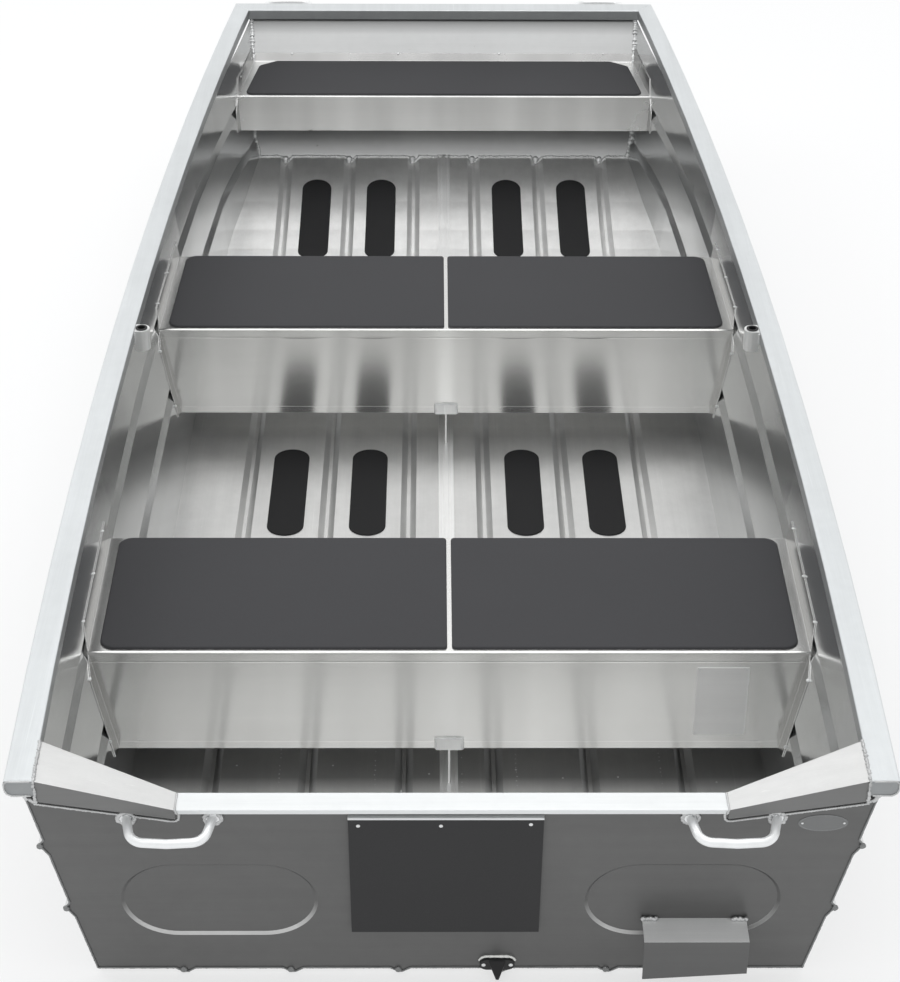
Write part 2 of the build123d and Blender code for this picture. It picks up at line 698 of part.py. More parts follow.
# Rowlock sockets: a round-nosed block on the gunwale's inner face, bored for a bush
rowlock_top = rail_top(ROWLOCK_Y) - ROWLOCK_BELOW_TOP
rail_run = rail_half(ROWLOCK_Y - ROWLOCK_RADIUS) - rail_half(ROWLOCK_Y + ROWLOCK_RADIUS)
turn = math.degrees(math.atan2(rail_run, 2 * ROWLOCK_RADIUS))
rowlock_x = rail_half(ROWLOCK_Y, RAIL_WIDTH) - WELD_GAP
seat = Pos(rowlock_x, ROWLOCK_Y, rowlock_top - ROWLOCK_HEIGHT) * Rot(0, 0, turn)
nose = Pos(-ROWLOCK_OUT, 0) * Circle(ROWLOCK_RADIUS)
nose += Pos(-ROWLOCK_OUT / 2, 0) * Rectangle(ROWLOCK_OUT, 2 * ROWLOCK_RADIUS)
nose -= Pos(ROWLOCK_RADIUS, 0) * Rectangle(2 * ROWLOCK_RADIUS, 2 * ROWLOCK_RADIUS)
nose -= Pos(-ROWLOCK_OUT, 0) * Circle(BUSH_OUTER_RADIUS)
bush = Circle(BUSH_OUTER_RADIUS) - Circle(BUSH_BORE_RADIUS)
nodes.update(port_and_starboard("rowlock", seat * extrude(nose, ROWLOCK_HEIGHT)))
bush_body = seat * Pos(-ROWLOCK_OUT, 0, 0) * extrude(bush, ROWLOCK_HEIGHT + BUSH_PROUD)
nodes.update(port_and_starboard("rowlock_bush", bush_body))


def handle(foot_radius):
    """A carrying handle standing out along z from two round feet."""
    path = FilletPolyline(
        (-HANDLE_SPREAD / 2, 0, 0),
        (-HANDLE_GRIP_SPREAD / 2, 0, HANDLE_REACH),
        (0, 0, HANDLE_REACH + HANDLE_ARCH),
        (HANDLE_GRIP_SPREAD / 2, 0, HANDLE_REACH),
        (HANDLE_SPREAD / 2, 0, 0),
        radius=HANDLE_BEND,
    )
    bar = sweep(Plane(path @ 0, z_dir=path % 0) * Circle(HANDLE_BAR_RADIUS), path=path)
    bar = split(bar, bisect_by=Plane.XY, keep=Keep.TOP)
    for side_sign in (PORT, STARBOARD):
        foot = Pos(side_sign * HANDLE_SPREAD / 2, 0, HANDLE_FOOT / 2)
        bar += foot * Cylinder(foot_radius, HANDLE_FOOT)
    return bar


# Carrying handles: two on the transom, two on the front of the bow gunwale
stern_handle = on_transom(HANDLE_X, STERN_HANDLE_Z) * handle(STERN_HANDLE_FOOT_RADIUS)
nodes.update(port_and_starboard("stern_handle", stern_handle))
bow_seat = Plane((HANDLE_X, RAIL_BOW_Y, -BOW_HANDLE_BELOW_TOP), x_dir=(1, 0, 0), z_dir=(0, 1, 0))
bow_handle = sheer * (bow_seat * handle(BOW_HANDLE_FOOT_RADIUS))
nodes.update(port_and_starboard("bow_handle", bow_handle))

# Motor pad
pad_place = on_transom(MOTOR_PAD_X, MOTOR_PAD_TOP) * Pos(0, -MOTOR_PAD_LENGTH / 2, MOTOR_PAD_THICKNESS / 2)
nodes["motor_pad"] = pad_place * Box(MOTOR_PAD_WIDTH, MOTOR_PAD_LENGTH, MOTOR_PAD_THICKNESS)

# Sounder bracket: a plate bent once, with a slanting foot, seated in the floor of the pressed oval
oval_floor = OVAL_DEPTH / math.cos(math.radians(TRANSOM_RAKE))
fold_y = -BRACKET_TOP_Z * RAKE_RUN - BRACKET_REACH
fold_z = BRACKET_TOP_Z - BRACKET_FALL
under_z = BRACKET_TOP_Z - BRACKET_SHEET
bent = [
    (oval_floor - BRACKET_TOP_Z * RAKE_RUN, BRACKET_TOP_Z),
    (fold_y, fold_z),
    (fold_y, 0),
    (fold_y + BRACKET_SHEET, 0),
    (fold_y + BRACKET_SHEET, fold_z - BRACKET_SHEET),
    (oval_floor - under_z * RAKE_RUN, under_z),
]
bracket_end_x = BRACKET_PORT_X + BRACKET_WIDTH
foot_line = [
    (BRACKET_PORT_X, -SHEET),
    (BRACKET_PORT_X, BRACKET_PORT_FOOT_Z),
    (bracket_end_x, BRACKET_STARBOARD_FOOT_Z),
    (bracket_end_x, -SHEET),
]
nodes["sounder_bracket"] = side_view(bent, BRACKET_PORT_X, bracket_end_x) - end_view(foot_line, -FAR, FAR)

# Drain valve: a plate with a spigot through the transom, and a flap that leans out to a point
drain_face = on_transom(DRAIN_X, DRAIN_Z)
valve = extrude(SlotOverall(DRAIN_PLATE_WIDTH, DRAIN_PLATE_HEIGHT), DRAIN_PLATE)
valve += extrude(Circle(DRAIN_SPIGOT_RADIUS), -TRANSOM_SHEET)
valve -= Cylinder(DRAIN_BORE_RADIUS, 4 * DRAIN_PLATE)
flap_points = [
    (-DRAIN_FLAP_WIDTH / 2, DRAIN_FLAP_HINGE, DRAIN_PLATE),
    (DRAIN_FLAP_WIDTH / 2, DRAIN_FLAP_HINGE, DRAIN_PLATE),
    (DRAIN_FLAP_TIP_WIDTH / 2, DRAIN_FLAP_HINGE - DRAIN_FLAP_FALL, DRAIN_PLATE + DRAIN_FLAP_REACH),
    (-DRAIN_FLAP_TIP_WIDTH / 2, DRAIN_FLAP_HINGE - DRAIN_FLAP_FALL, DRAIN_PLATE + DRAIN_FLAP_REACH),
]
flap = extrude(Face(Wire.make_polygon(flap_points, close=True)), DRAIN_FLAP, dir=(0, -1, 0))
nodes["drain_valve"] = drain_face * (valve + flap)

# Everything moves so that the origin lies under the middle, at the level the boat rests on
whole = Compound(list(nodes.values())).bounding_box()
centre = whole.center()
origin = Pos(-centre.X, -centre.Y, -whole.min.Z)
os.makedirs("parts", exist_ok=True)
for name, shape in nodes.items():
    export_step(origin * shape, f"parts/{name}.step")
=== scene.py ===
"""Looks of the jon boat: finishes, welds, rivets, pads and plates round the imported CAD, light and camera."""
import math
import random

import bmesh
import bpy
from mathutils import Matrix, Vector, noise
from mathutils.bvhtree import BVHTree


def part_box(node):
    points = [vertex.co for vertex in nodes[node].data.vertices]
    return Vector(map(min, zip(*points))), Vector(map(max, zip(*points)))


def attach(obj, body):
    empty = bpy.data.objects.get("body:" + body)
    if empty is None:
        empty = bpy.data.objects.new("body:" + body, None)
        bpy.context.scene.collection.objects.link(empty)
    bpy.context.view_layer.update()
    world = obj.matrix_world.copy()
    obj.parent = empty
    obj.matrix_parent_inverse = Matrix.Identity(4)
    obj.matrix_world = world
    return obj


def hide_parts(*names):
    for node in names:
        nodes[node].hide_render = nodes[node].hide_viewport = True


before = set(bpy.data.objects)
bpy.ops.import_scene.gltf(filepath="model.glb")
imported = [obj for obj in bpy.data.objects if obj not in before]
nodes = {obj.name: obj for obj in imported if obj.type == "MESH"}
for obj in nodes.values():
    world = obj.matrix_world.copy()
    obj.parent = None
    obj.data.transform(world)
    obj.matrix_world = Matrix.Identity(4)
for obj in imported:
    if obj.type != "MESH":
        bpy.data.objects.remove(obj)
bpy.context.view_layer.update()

# The boat's own frame, in mm: lengths from the foot of the transom, heights from the flat bottom
strip_low, strip_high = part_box("floor_strips_mid")
SHIFT_Y = strip_high[1] - 1.818
SHIFT_Z = strip_low[2] - 0.002


def at(x, y, z):
    """A point of the boat's own frame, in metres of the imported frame."""
    return Vector((x / 1000, y / 1000 + SHIFT_Y, z / 1000 + SHIFT_Z))


RAKE = math.radians(10)
TRANSOM_UP = Vector((0, -math.sin(RAKE), math.cos(RAKE)))
TRANSOM_OUT = Vector((0, -math.cos(RAKE), -math.sin(RAKE)))


def on_transom(x, z, out=0.0):
    """A point at height z on the transom's outer face, or some mm outside it."""
    return at(x, -z * math.tan(RAKE), z) + TRANSOM_OUT * out / 1000


# Forms of the hull that the welds and rivets follow, in mm
RISE_START, RISE_RUN, RISE_RADIUS = 2600, 830, 2654
RAIL_AFT, RAIL_RUN, RAIL_TOP_AFT, RAIL_RISE = -90, 3710, 492, 13
HALF_BEAM, WIDEST, SIDE_RADIUS = 748, 900, 30000
RAIL_WIDTH = 48


def bottom_z(y):
    """Height of the underside of the bottom, which rises to the bow on an arc."""
    run = min(max(y - RISE_START, 0), RISE_RUN)
    return RISE_RADIUS - math.sqrt(RISE_RADIUS**2 - run**2)


def rail_top(y):
    """Height of the gunwale's top."""
    return RAIL_TOP_AFT + (y - RAIL_AFT) / RAIL_RUN * RAIL_RISE


def rail_half(y):
    """Half-breadth of the gunwale's outer edge."""
    return HALF_BEAM - SIDE_RADIUS + math.sqrt(SIDE_RADIUS**2 - (y - WIDEST) ** 2)


# Camera, fitted to the photograph: radians and pixels
FRAME_WIDTH, FRAME_HEIGHT = 900, 982
SENSOR = 36
PITCH, YAW, ROLL = 0.54568, 0.00898, 0.0053
FOCAL_PX = 2300.04
eye = at(-32.96, -3048.95, 2840.70)
forward = Vector((math.sin(YAW) * math.cos(PITCH), math.cos(YAW) * math.cos(PITCH), -math.sin(PITCH)))
level = Vector((math.cos(YAW), -math.sin(YAW), 0))
upright = level.cross(forward)
right = math.cos(ROLL) * level + math.sin(ROLL) * upright
up = -math.sin(ROLL) * level + math.cos(ROLL) * upright
camera = bpy.data.objects.new("camera", bpy.data.cameras.new("camera"))
bpy.context.scene.collection.objects.link(camera)
camera.matrix_world = Matrix.Translation(eye) @ Matrix((right, up, -forward)).transposed().to_4x4()
camera.data.sensor_width = SENSOR
camera.data.lens = FOCAL_PX / FRAME_HEIGHT * SENSOR
camera.data.clip_end = 200
bpy.context.scene.camera = camera


# ---- Shader building ----
def linear(rgb):
    """A colour as seen, 0 to 255, as linear values."""
    shares = [c / 255 for c in rgb]
    return tuple(c / 12.92 if c <= 0.04045 else ((c + 0.055) / 1.055) ** 2.4 for c in shares)


class Shader:
    """A material's node tree with short calls for the nodes it needs."""

    def __init__(self, name):
        self.mat = bpy.data.materials.new(name)
        self.mat.use_nodes = True
        self.tree = self.mat.node_tree
        self.bsdf = self.tree.nodes["Principled BSDF"]
        self.place = self.add("ShaderNodeTexCoord").outputs["Object"]

    def add(self, kind, links=None, **values):
        node = self.tree.nodes.new(kind)
        for key, value in values.items():
            setattr(node, key, value)
        for key, value in (links or {}).items():
            self.put(node.inputs[key], value)
        return node

    def put(self, socket, value):
        if isinstance(value, bpy.types.NodeSocket):
            self.tree.links.new(value, socket)
        else:
            socket.default_value = value

    def math(self, operation, a, b=0.0):
        return self.add("ShaderNodeMath", {0: a, 1: b}, operation=operation).outputs[0]

    def axis(self, vector, index):
        """One coordinate of a vector."""
        return self.add("ShaderNodeSeparateXYZ", {0: vector}).outputs[index]

    def normal(self):
        return self.add("ShaderNodeNewGeometry").outputs["Normal"]

    def darken(self, value, mask, share):
        """A value less a share of itself where the mask is 1."""
        kept = self.math("SUBTRACT", 1.0, self.math("MULTIPLY", mask, share))
        return self.math("MULTIPLY", value, kept)

    def noise(self, scale, detail=3.0, stretch=(1, 1, 1), rough=0.5):
        """Noise in the boat's frame, in details per metre, drawn out where a stretch is small."""
        place = self.add("ShaderNodeMapping", {"Vector": self.place, "Scale": stretch}).outputs[0]
        links = {"Vector": place, "Scale": scale, "Detail": detail, "Roughness": rough}
        return self.add("ShaderNodeTexNoise", links).outputs[0]

    def spread(self, value, amount):
        """A value of 0 to 1 turned into -amount to amount."""
        return self.math("MULTIPLY", self.math("SUBTRACT", value, 0.5), 2 * amount)

    def band(self, value, low, high):
        """0 below low, 1 above high."""
        links = {"Value": value, "From Min": low, "From Max": high}
        return self.add("ShaderNodeMapRange", links, clamp=True).outputs[0]

    def total(self, *values):
        """The sum of several values."""
        whole = values[0]
        for value in values[1:]:
            whole = self.math("ADD", whole, value)
        return whole

    def edges(self, radius):
        """Normal rounded over sharp edges, and a mask of those edges."""
        bevel = self.add("ShaderNodeBevel", {"Radius": radius}, samples=4).outputs[0]
        links = {0: bevel, 1: self.normal()}
        dot = self.add("ShaderNodeVectorMath", links, operation="DOT_PRODUCT").outputs["Value"]
        return bevel, self.band(dot, 0.995, 0.80)

    def grain(self, amount, way):
        """Reflections drawn out along one way, as on rolled sheet."""
        self.bsdf.inputs["Anisotropic"].default_value = amount
        tangent = self.add("ShaderNodeCombineXYZ", {"X": way[0], "Y": way[1], "Z": way[2]})
        self.put(self.bsdf.inputs["Tangent"], tangent.outputs[0])

    def finish(self, colour, value, rough, bump, depth, normal):
        """The finished material, its colour times the value, with a bump of some depth in metres."""
        tinted = self.add("ShaderNodeVectorMath", {0: linear(colour), "Scale": value}, operation="SCALE")
        self.put(self.bsdf.inputs["Base Color"], tinted.outputs[0])
        self.put(self.bsdf.inputs["Roughness"], rough)
        links = {"Height": bump, "Distance": depth, "Strength": 1.0, "Normal": normal}
        self.put(self.bsdf.inputs["Normal"], self.add("ShaderNodeBump", links).outputs[0])
        return self.mat


# Noise scales of the metals, in details per metre
BRUSH_SCALE, STREAK_SCALE, SCRATCH_SCALE = 420, 38, 150
PATCH_SCALE, MOTTLE_SCALE, SPECK_SCALE, BAND_SCALE = 3.1, 34, 260, 8.5
UP_THE_SHEET = (1, 0.02, 0.02)
METAL_BUMP = 0.00012
CREASE_HALF = 0.0022


def metal(name, colour, rough=0.36, metallic=0.85, stretch=(1, 1, 1), brush=0.06, patch=0.10,
          mottle=0.05, specks=0.0, edge=0.5, edge_radius=0.0012, lines=(), grain=0.0,
          way=(0.06, 0.2, 1), dents=1.0, scratches=0.08, upright=1.0, tilts=(0.15, 0.75),
          shade=None, painted_shade_stretches=(), painted_reflection_bands=0.0, flank=0.0):
    """Aluminium, brushed or rolled along one way.

    brush, patch, mottle, specks, scratches, bands: strength of each pattern in the value; bands are a painted
    reflection of the floor
    edge, edge_radius: brightness and width of a painted highlight along sharp edges
    grain, way: how far reflections are drawn out, and along which way
    dents: strength of the bump
    upright, tilts: share of the value kept by upright faces, and the tilt over which it grows, a painted
    shade; faces that look down then lose a further share, also painted shade
    shade: heights between which the value falls, and by which share, a painted shade
    dull: stretches of the length whose value falls by a share, a painted shade
    lines: heights of creases, each a bump with a painted highlight
    flank: share by which faces that look sideways are darker, a painted shade
    """
    s = Shader(name)
    s.bsdf.inputs["Metallic"].default_value = metallic
    if grain:
        s.grain(grain, way)
    brushed = s.noise(BRUSH_SCALE, 4, stretch, 0.7)
    streaky = s.noise(STREAK_SCALE, 3, stretch, 0.6)
    patchy = s.noise(PATCH_SCALE, 4)
    mottled = s.noise(MOTTLE_SCALE, 6, rough=0.65)
    scratch = s.band(s.noise(SCRATCH_SCALE, 2, stretch, 0.5), 0.70, 0.76)
    # Edges rounded in the normal, and lighter by a painted highlight
    bevel, painted_edge_highlight = s.edges(edge_radius)
    value = s.total(1.0, s.spread(brushed, brush), s.spread(streaky, brush * 1.6),
                    s.spread(patchy, patch), s.spread(mottled, mottle),
                    s.math("MULTIPLY", scratch, scratches), s.math("MULTIPLY", painted_edge_highlight, edge))
    if specks:
        fleck = s.band(s.noise(SPECK_SCALE, 2, rough=0.4), 0.735, 0.76)
        value = s.math("ADD", value, s.math("MULTIPLY", fleck, specks))
    height = s.total(s.math("MULTIPLY", brushed, 0.5 * dents), s.math("MULTIPLY", mottled, 0.7 * dents))
    # Painted shade: upright faces keep only a share of the value, more as they tilt up, and faces that look
    # down are darker still
    if upright < 1:
        tilt = s.axis(s.normal(), 2)
        painted_tilt_light = s.math("MULTIPLY", s.band(tilt, *tilts), 1 - upright)
        value = s.math("MULTIPLY", value, s.math("ADD", upright, painted_tilt_light))
        painted_light_not_under = s.math("MULTIPLY", s.band(tilt, -0.5, -0.22), 0.4)
        value = s.math("MULTIPLY", value, s.math("ADD", 0.6, painted_light_not_under))
    # Painted shade on faces that look sideways
    if flank:
        painted_side_shade = s.math("ABSOLUTE", s.axis(s.normal(), 0))
        value = s.darken(value, s.band(painted_side_shade, 0.4, 0.75), flank)
    # Vertical bands: a painted reflection of the floor
    if painted_reflection_bands:
        value = s.math("ADD", value, s.spread(s.noise(BAND_SCALE, 1.5, UP_THE_SHEET, 0.5), painted_reflection_bands))
    z = s.axis(s.place, 2)
    # Painted shade above a height: a painted shadow under the gunwale on the bow plate, and darkening of the
    # bow bench's upstand
    if shade:
        value = s.darken(value, s.band(z, shade[0], shade[1]), shade[2])
    # Painted shade over stretches of the length
    y = s.axis(s.place, 1)
    for start, end, share in painted_shade_stretches:
        within = s.math("MULTIPLY", s.band(y, start, start + 0.05), s.band(y, end, end - 0.05))
        value = s.darken(value, within, share)
    # Creases: a bump, and a painted highlight along each
    for line_z in lines:
        off = s.math("ABSOLUTE", s.math("SUBTRACT", z, line_z))
        crease_and_painted_highlight = s.band(off, CREASE_HALF, 0.0)
        value = s.math("ADD", value, s.math("MULTIPLY", crease_and_painted_highlight, 0.14))
        height = s.math("ADD", height, s.math("MULTIPLY", crease_and_painted_highlight, 2.0))
    roughness = s.total(rough, s.spread(patchy, 0.05), s.spread(mottled, 0.05 * dents),
                        s.spread(brushed, 0.04 * dents))
    return s.finish(colour, value, roughness, height, METAL_BUMP, bevel)


RUBBER_PATCH_SCALE, SCUFF_SCALE = 4.5, 60
RUBBER_EDGE = 0.001


def rubber(name, colour, rough, pebbles, depth, patch=0.10, edge=0.25):
    """Foam, rubber or plastic: a fine pebble of so many per metre, faint scuffs, and edges paler by a painted
    highlight.
    """
    s = Shader(name)
    s.bsdf.inputs["Specular IOR Level"].default_value = 0.35
    pebble = s.noise(pebbles, 2, rough=0.6)
    patchy = s.noise(RUBBER_PATCH_SCALE, 4)
    scuff = s.band(s.noise(SCUFF_SCALE, 5, (1, 0.25, 1), 0.7), 0.66, 0.8)
    # Edges lighter by a painted highlight
    bevel, painted_edge_highlight = s.edges(RUBBER_EDGE)
    value = s.total(1.0, s.spread(pebble, 0.22), s.spread(patchy, patch),
                    s.math("MULTIPLY", scuff, 0.30), s.math("MULTIPLY", painted_edge_highlight, edge))
    roughness = s.total(rough, s.spread(patchy, 0.05), s.math("MULTIPLY", scuff, -0.06))
    return s.finish(colour, value, roughness, pebble, depth, bevel)


# Stretches of the noises: fine lines along the boat, across it, and upright
ALONG = (1, 0.02, 1)
ACROSS = (0.02, 1, 1)
UPRIGHT = (1, 1, 0.05)

# Creases of the benches' aft faces, the heights of the painted shade at the bow, and the stretches of the
# floor darkened by painted shade
bench_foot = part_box("stern_bench")[0][2]
creases = (bench_foot + 0.016, bench_foot + 0.205)
rail_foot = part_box("gunwale_bow")[0][2]
bow_bench_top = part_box("bow_pad")[0][2]
stern_aft, stern_fore = (corner[1] + 0.01 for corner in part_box("stern_bench"))
mid_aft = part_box("mid_bench")[0][1] + 0.01
# Painted shade on the floor: strongest under the stern bench, weaker between it and the middle bench
painted_floor_shade = ((stern_aft, stern_fore, 0.60), (stern_fore - 0.05, mid_aft + 0.12, 0.27))

floor_metal = metal("floor_aluminium", (246, 246, 245), 0.33, 0.84, ALONG, brush=0.05, patch=0.10,
                    mottle=0.08, specks=0.2, grain=0.7, way=(0.05, 1, 0.2), dents=0.6, painted_shade_stretches=painted_floor_shade)
side_metal = metal("side_aluminium", (212, 213, 213), 0.17, 0.92, ALONG, brush=0.05, patch=0.10,
                   grain=0.35, way=(0.1, 1, 0.2), dents=0.6)
# Upright faces of the transom, gussets, rail and bracket are darkened by painted shade through upright
transom_metal = metal("transom_aluminium", (200, 200, 199), 0.38, 0.65, ACROSS, brush=0.06, patch=0.12,
                      mottle=0.09, edge=0.5, upright=0.235, tilts=(-0.12, 0.32))
# The bow plate darkens just below the gunwale: a painted shadow of the gunwale
bow_metal = metal("bow_aluminium", (196, 197, 197), 0.30, 0.85, ACROSS, brush=0.04, patch=0.10,
                  dents=0.4, scratches=0.0, shade=(rail_foot - 0.042, rail_foot - 0.004, 0.62))
# The benches' sideways faces are darker by painted shade, their vertical bands are a painted reflection, and
# their creases carry a painted highlight
bench_metal = metal("bench_aluminium", (241, 241, 239), 0.20, 0.92, ACROSS, brush=0.02, patch=0.05,
                    mottle=0.012, edge=0.45, lines=creases, grain=0.75, dents=0.0, scratches=0.0,
                    painted_reflection_bands=0.14, flank=0.55)
# The bow bench: a darker copy of the bench aluminium, a painted shade, with more painted shade on its upstand
# above the pad
bow_bench_shaded_metal = metal("bow_bench_shaded_aluminium", (226, 226, 225), 0.28, 0.90, ACROSS, brush=0.02,
                        patch=0.05, mottle=0.012, edge=0.45, grain=0.5, dents=0.0, scratches=0.0,
                        painted_reflection_bands=0.30, shade=(bow_bench_top + 0.001, bow_bench_top + 0.004, 0.34),
                        flank=0.45)
rail_metal = metal("rail_aluminium", (214, 217, 218), 0.40, 0.45, ALONG, brush=0.06, patch=0.06,
                   edge=0.30, edge_radius=0.004, upright=0.45)
cap_metal = metal("cap_aluminium", (226, 228, 228), 0.42, 0.35, ACROSS, brush=0.05, patch=0.04, edge=0.15)
gusset_metal = metal("gusset_aluminium", (210, 210, 209), 0.40, 0.55, ACROSS, brush=0.05, patch=0.08,
                     edge=0.5, edge_radius=0.003, upright=0.30)
handle_metal = metal("handle_aluminium", (244, 245, 245), 0.34, 0.4, patch=0.04, edge=0.2)
fitting_metal = metal("fitting_aluminium", (236, 237, 236), 0.34, 0.7, UPRIGHT, brush=0.06, patch=0.08)
bracket_metal = metal("bracket_aluminium", (216, 216, 215), 0.40, 0.25, ACROSS, brush=0.06, patch=0.10,
                      edge=0.6, upright=0.17, tilts=(0.0, 0.45))
plate_metal = metal("plate_aluminium", (236, 236, 235), 0.34, 0.60, ACROSS, brush=0.03, patch=0.04,
                    mottle=0.02, edge=0.5, grain=0.6, dents=0.0, scratches=0.0)
# The oval plate's bright rim is a painted highlight
oval_metal = metal("oval_aluminium", (120, 121, 121), 0.36, 0.6, ACROSS, brush=0.05, patch=0.05, edge=1.2)
weld_metal = metal("weld_metal", (232, 233, 233), 0.32, 0.75, brush=0.04, patch=0.15, mottle=0.30,
                   edge=0.0)
channel_metal = metal("channel_aluminium", (250, 250, 249), 0.36, 0.6, ALONG, brush=0.05, patch=0.08,
                      edge=0.8, dents=0.4)
dull_weld = metal("dull_weld", (196, 197, 197), 0.30, 0.85, brush=0.04, patch=0.20, mottle=0.40, edge=0.0)
edge_weld = metal("edge_weld", (132, 133, 133), 0.34, 0.75, brush=0.04, patch=0.20, mottle=0.40, edge=0.0)
rivet_metal = metal("rivet_metal", (232, 233, 233), 0.30, 0.8, patch=0.08, edge=0.0)
pad_foam = rubber("pad_foam", (61, 61, 63), 0.80, 700, 0.00025)
strip_rubber = rubber("strip_rubber", (28, 28, 29), 0.82, 520, 0.0004, 0.14)
motor_plastic = rubber("motor_plastic", (40, 40, 41), 0.55, 380, 0.00012, 0.08, edge=0.9)
bush_plastic = rubber("bush_plastic", (30, 30, 31), 0.45, 500, 0.0001)
drain_plastic = rubber("drain_plastic", (24, 24, 25), 0.42, 420, 0.0001, edge=0.8)
sealant = rubber("sealant", (236, 236, 232), 0.55, 240, 0.0005, 0.06, edge=0.0)

# Finish of each CAD node, by the start of its name, the first that fits
FINISH = {
    "hull_bottom": floor_metal, "hull_side": side_metal, "keel_channel": channel_metal,
    "keel": side_metal, "transom_cap": cap_metal, "transom": transom_metal, "bow_plate": bow_metal,
    "bow_bench": bow_bench_shaded_metal, "stern_bench": bench_metal, "mid_bench": bench_metal,
    "gunwale": rail_metal, "gusset": gusset_metal, "sounder_bracket": bracket_metal,
    "stern_handle": handle_metal, "bow_handle": handle_metal, "drain_valve": drain_plastic,
    "motor_pad": motor_plastic, "stern_prop": fitting_metal, "mid_prop": fitting_metal,
    "rowlock_bush": bush_plastic, "rowlock": fitting_metal, "floor_strips": strip_rubber,
    "stern_pad": pad_foam, "mid_pad": pad_foam, "bow_pad": pad_foam,
}
for name, node in nodes.items():
    node.data.materials.clear()
    node.data.materials.append(next(finish for start, finish in FINISH.items() if name.startswith(start)))


# ---- Mesh building ----
# Least height of a bead, so that it stays on the ground, in metres
LEAST_Z = 0.0002


class Piece:
    """Vertices and faces of one piece, gathered from several forms."""

    def __init__(self):
        self.verts = []
        self.faces = []

    def grid(self, rings, closed=True, cap_start=False, cap_end=False):
        """Faces between rings of equal length; closed rings join end to end."""
        first = len(self.verts)
        size = len(rings[0])
        for ring in rings:
            self.verts.extend(ring)
        last = size if closed else size - 1
        for row in range(len(rings) - 1):
            a = first + row * size
            for i in range(last):
                j = (i + 1) % size
                self.faces.append((a + i, a + j, a + size + j, a + size + i))
        if cap_start:
            self.faces.append(tuple(first + i for i in reversed(range(size))))
        if cap_end:
            self.faces.append(tuple(first + (len(rings) - 1) * size + i for i in range(size)))

    def make(self, name, mat):
        """The piece as an object of the scene, smooth all over."""
        mesh = bpy.data.meshes.new(name)
        mesh.from_pydata([tuple(v) for v in self.verts], [], self.faces)
        bm = bmesh.new()
        bm.from_mesh(mesh)
        bmesh.ops.recalc_face_normals(bm, faces=bm.faces)
        bm.to_mesh(mesh)
        bm.free()
        for face in mesh.polygons:
            face.use_smooth = True
        mesh.materials.append(mat)
        obj = bpy.data.objects.new(name, mesh)
        bpy.context.scene.collection.objects.link(obj)
        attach(obj, "root")
        return obj


def smooth_by_angle(obj, degrees):
    """Sharp edges past an angle, smooth elsewhere."""
    bm = bmesh.new()
    bm.from_mesh(obj.data)
    for edge in bm.edges:
        edge.smooth = len(edge.link_faces) == 2 and edge.calc_face_angle(0) < math.radians(degrees)
    bm.to_mesh(obj.data)
    bm.free()


def along(path, step):
    """Points every step along a polyline, with the distance run to each."""
    out, run = [], 0.0
    for a, b in zip(path, path[1:]):
        length = (b - a).length
        count = max(1, round(length / step))
        for i in range(count):
            out.append((a.lerp(b, i / count), run + length * i / count))
        run += length
    out.append((path[-1], run))
    return out


def bead(piece, path, radius, pitch, seed, sides=8):
    """A weld bead: a tube along a path with the ripples of its passes. Sizes in mm, path in metres."""
    rng = random.Random(seed)
    points = along(path, pitch / 4000)
    total = points[-1][1]
    swell = [rng.uniform(0.86, 1.14) for _ in range(int(total * 1000 / pitch) + 3)]
    side = None
    rings = []
    for i, (point, run) in enumerate(points):
        ahead = points[min(i + 1, len(points) - 1)][0] - points[max(i - 1, 0)][0]
        ahead.normalize()
        if side is None:
            side = ahead.orthogonal().normalized()
        side = (side - ahead * side.dot(ahead)).normalized()
        over = ahead.cross(side)
        ripple = run * 1000 / pitch
        size = radius / 1000 * swell[int(ripple)] * (0.80 + 0.26 * abs(math.sin(math.pi * ripple)))
        size *= min(1.0, 0.25 + min(run, total - run) * 1000 / radius * 0.75)
        ring = [point + size * (math.cos(t) * side + math.sin(t) * over)
                for t in (2 * math.pi * k / sides for k in range(sides))]
        rings.append([Vector((p.x, p.y, max(p.z, LEAST_Z))) for p in ring])
    piece.grid(rings, cap_start=True, cap_end=True)


def blob(piece, centre, radius, seed):
    """A round lump of weld, a little flat along the boat, kept above the ground. Radius in mm."""
    rng = random.Random(seed)
    centre = Vector((centre.x, centre.y, max(centre.z, radius * 0.00115)))
    rings = []
    for row in range(1, 8):
        tilt = math.pi * row / 8
        ring = []
        for t in (2 * math.pi * k / 12 for k in range(12)):
            way = Vector((math.sin(tilt) * math.cos(t), 0.8 * math.cos(tilt), math.sin(tilt) * math.sin(t)))
            ring.append(centre + way * radius / 1000 * rng.uniform(0.92, 1.08))
        rings.append(ring)
    piece.grid(rings, cap_start=True, cap_end=True)


def rough_weld(piece, path, radius, seed, spacing):
    """An uneven weld: overlapping lumps of many sizes along a path, spaced by a share of their radius."""
    rng = random.Random(seed)
    for i, (point, _) in enumerate(along(path, radius * spacing / 1000)):
        shift = Vector([rng.uniform(-0.25, 0.25) * radius / 1000 for _ in range(3)])
        blob(piece, point + shift, radius * rng.uniform(0.65, 1.12), seed * 100 + i)


def dome(piece, centre, normal, radius=3.6, height=1.5):
    """A low rivet head on a surface."""
    normal = normal.normalized()
    side = normal.orthogonal().normalized()
    over = normal.cross(side)
    profile = [(1.0, -0.3), (1.0, 0.25), (0.92, 0.60), (0.70, 0.88), (0.38, 1.0), (0.12, 1.0)]
    turns = [2 * math.pi * k / 14 for k in range(14)]
    rings = [[centre + (share * radius * (math.cos(t) * side + math.sin(t) * over)
                        + rise * height * normal) / 1000 for t in turns] for share, rise in profile]
    piece.grid(rings, cap_end=True)


